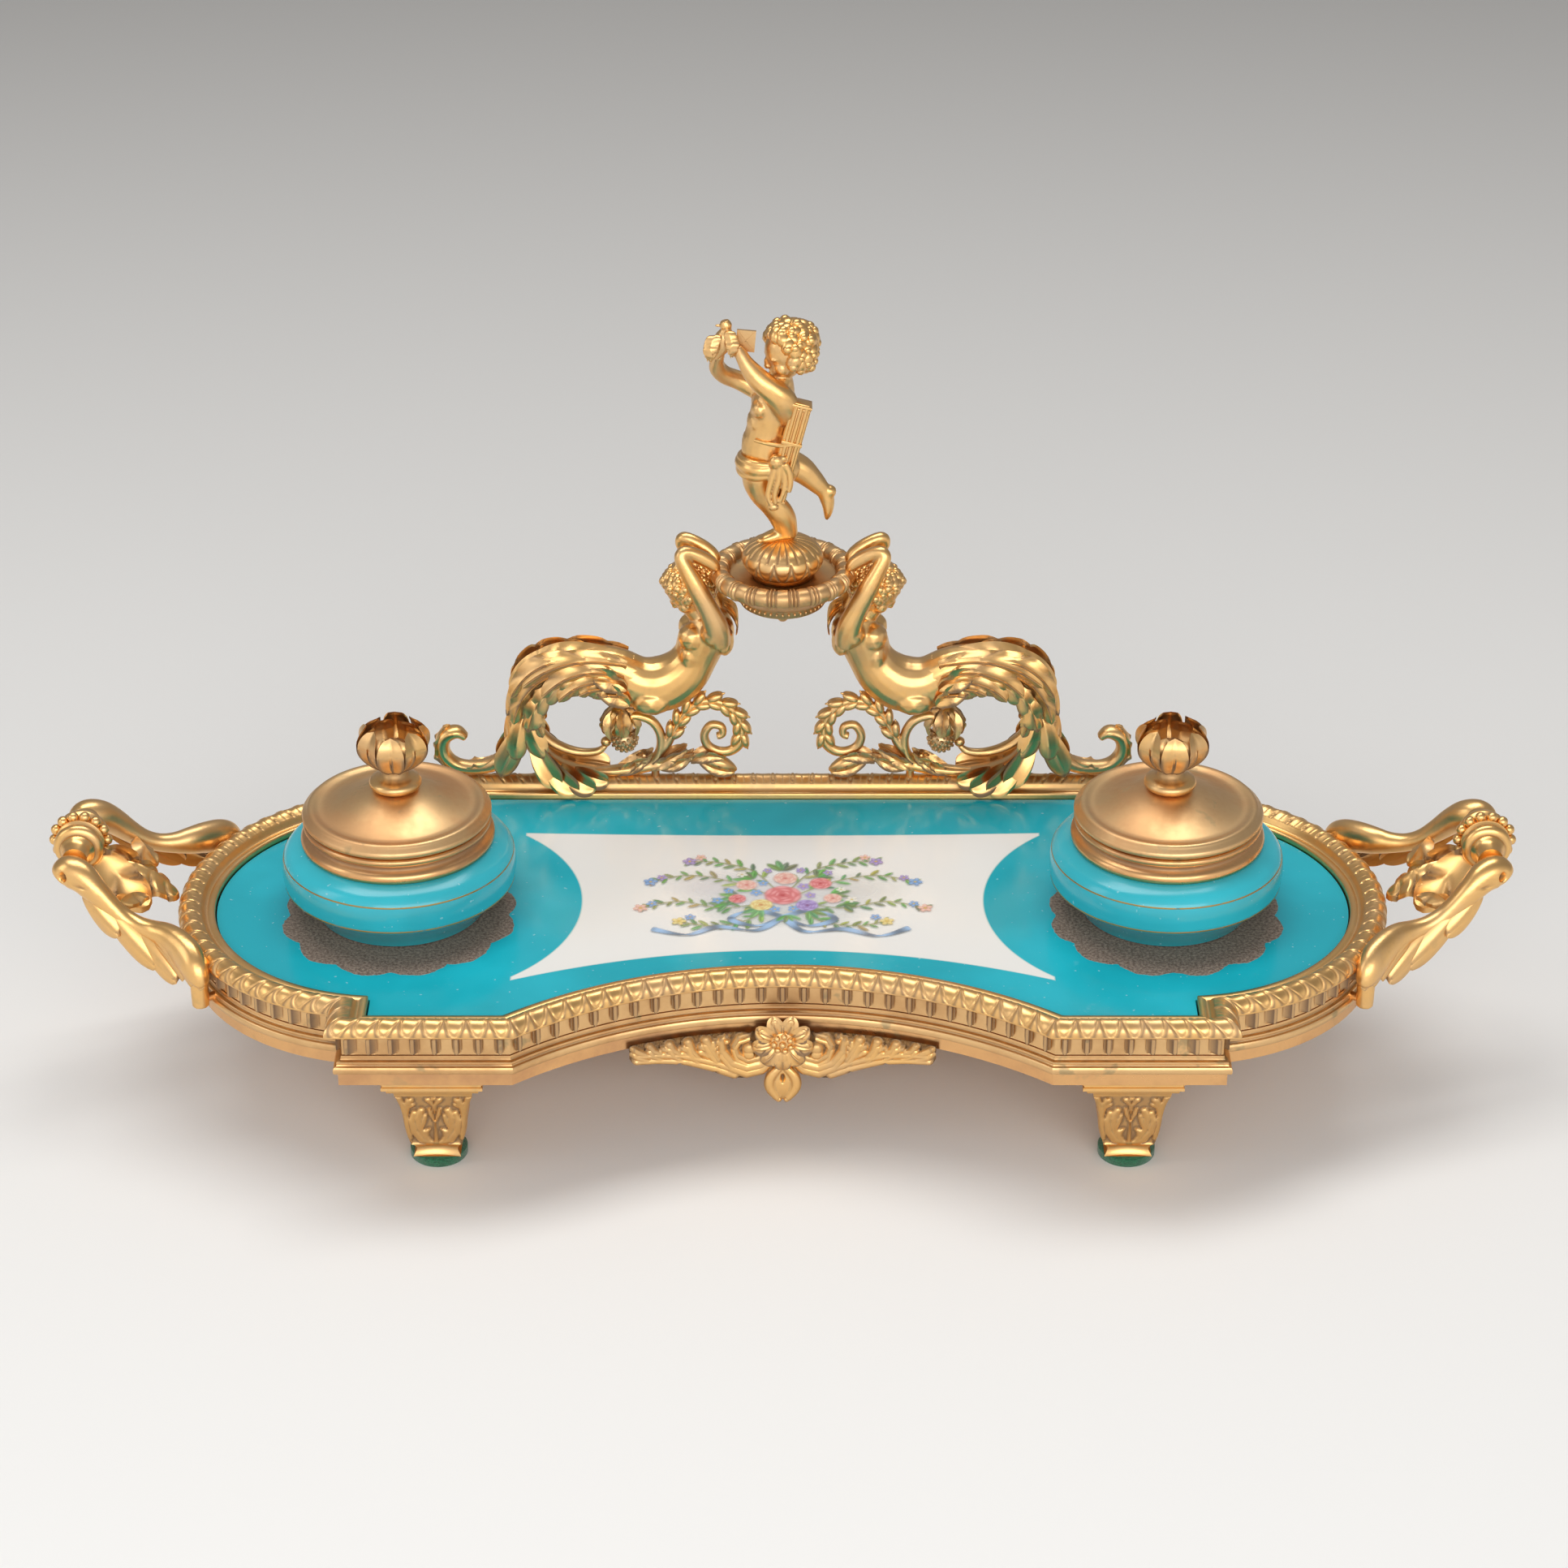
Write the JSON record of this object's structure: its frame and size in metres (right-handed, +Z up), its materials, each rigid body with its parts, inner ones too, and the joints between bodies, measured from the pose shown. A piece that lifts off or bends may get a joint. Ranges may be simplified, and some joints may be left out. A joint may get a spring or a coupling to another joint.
{
  "type": "desk inkstand",
  "caption": "Gilt-bronze and porcelain desk inkstand: shaped footed tray, lidded inkwells, end handles, and a back ornament of scroll-tailed figures holding a dish with a boy.",
  "frame": {"origin": "on the floor under the middle of the object's box", "axes": "+X along the tray's length to the viewer's right, +Y to the back rail with the figures, +Z up"},
  "size_m": [0.3378, 0.132, 0.1661],
  "materials": {
    "gilt_bronze": "fire-gilt bronze, burnished on the high places and matt in the hollows",
    "dark_bronze": "gilt bronze worn to brown, satin",
    "turquoise_porcelain": "turquoise glaze, glossy, lightly scuffed",
    "white_porcelain": "white glaze, glossy",
    "felt": "green wool felt",
    "steel": "plain steel fixings"
  },
  "bodies": {
    "stand": {"base_plate": "dark_bronze", "lower_moulding": "gilt_bronze", "fluted_band": "gilt_bronze", "leaf_moulding": "gilt_bronze", "porcelain_plaque": "turquoise_porcelain", "front_left_foot": "gilt_bronze", "front_right_foot": "gilt_bronze", "back_left_foot": "gilt_bronze", "back_right_foot": "gilt_bronze", "front_left_felt": "felt", "front_right_felt": "felt", "back_left_felt": "felt", "back_right_felt": "felt", "foot_screws": "steel", "front_apron": "gilt_bronze", "apron_rosette": "gilt_bronze", "apron_rivets": "steel", "left_handle_front_arm": "gilt_bronze", "left_handle_back_arm": "gilt_bronze", "left_handle_bar": "gilt_bronze", "left_handle_palmette": "gilt_bronze", "right_handle_front_arm": "gilt_bronze", "right_handle_back_arm": "gilt_bronze", "right_handle_bar": "gilt_bronze", "right_handle_palmette": "gilt_bronze", "handle_screws": "steel", "left_figure": "gilt_bronze", "right_figure": "gilt_bronze", "left_tail": "gilt_bronze", "right_tail": "gilt_bronze", "left_scroll": "gilt_bronze", "right_scroll": "gilt_bronze", "ornament_pins": "steel", "dish": "dark_bronze", "dish_cushion": "gilt_bronze", "dish_bolt": "dark_bronze", "putto": "gilt_bronze", "putto_sash": "gilt_bronze", "quiver": "gilt_bronze", "dove": "gilt_bronze", "letter": "gilt_bronze", "left_well_body": "turquoise_porcelain", "right_well_body": "turquoise_porcelain", "left_well_collar": "gilt_bronze", "right_well_collar": "gilt_bronze", "left_well_liner": "white_porcelain", "right_well_liner": "white_porcelain", "well_studs": "steel", "well_nuts": "steel"},
    "left_lid": {"left_lid": "gilt_bronze", "left_lid_finial": "gilt_bronze", "left_lid_nut": "steel"},
    "right_lid": {"right_lid": "gilt_bronze", "right_lid_finial": "gilt_bronze", "right_lid_nut": "steel"}
  },
  "joints": [
    {"name": "left_lid_lift", "type": "slide", "parent": "stand", "child": "left_lid", "axis": [0, 0, 1], "range_m": [0, 0.06]},
    {"name": "right_lid_lift", "type": "slide", "parent": "stand", "child": "right_lid", "axis": [0, 0, 1], "range_m": [0, 0.06]}
  ]
}
